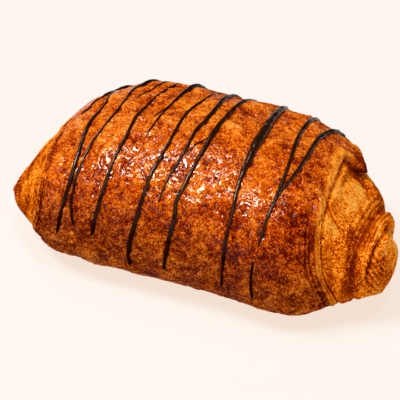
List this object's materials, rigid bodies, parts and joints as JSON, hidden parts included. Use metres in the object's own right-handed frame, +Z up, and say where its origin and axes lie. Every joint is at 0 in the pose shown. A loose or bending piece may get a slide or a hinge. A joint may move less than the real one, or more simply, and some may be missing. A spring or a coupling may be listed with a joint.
{
  "type": "pain au chocolat",
  "caption": "Whole baked roll of laminated dough with a glossy egg-washed wrap, coiled ends and strands of dark chocolate drizzled across its top, resting on a flat foot.",
  "frame": {"origin": "middle of the outline seen from above, at the height of the flat foot", "axes": "+X along the roll towards the more open coiled end, +Y to the back, +Z up"},
  "size_m": [0.1238, 0.0704, 0.0491],
  "materials": {
    "crust": "baked laminated dough, orange-brown, glossy where egg-washed and matt and paler at the coiled ends",
    "chocolate": "set dark chocolate in thin drizzled strands, satin gloss"
  },
  "bodies": {
    "root": {"pastry": "crust"}
  },
  "joints": []
}
